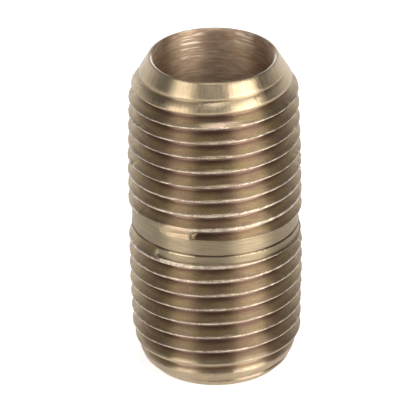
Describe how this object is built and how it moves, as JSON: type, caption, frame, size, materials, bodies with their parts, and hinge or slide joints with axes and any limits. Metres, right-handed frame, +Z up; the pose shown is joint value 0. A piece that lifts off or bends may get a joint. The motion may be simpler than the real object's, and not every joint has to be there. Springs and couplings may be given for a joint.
{
  "type": "close pipe nipple",
  "caption": "Short brass pipe nipple with an open bore, tapered male threads from both chamfered ends and a narrow plain recess between them.",
  "frame": {"origin": "centre of the lower end face, on the bore's axis", "axes": "+Z up along the bore to the upper end face, -Y towards the side seen from the front"},
  "size_m": [0.0102, 0.0102, 0.0199],
  "materials": {
    "brass": "machined and dulled"
  },
  "bodies": {
    "root": {"nipple_body": "brass"}
  },
  "joints": []
}
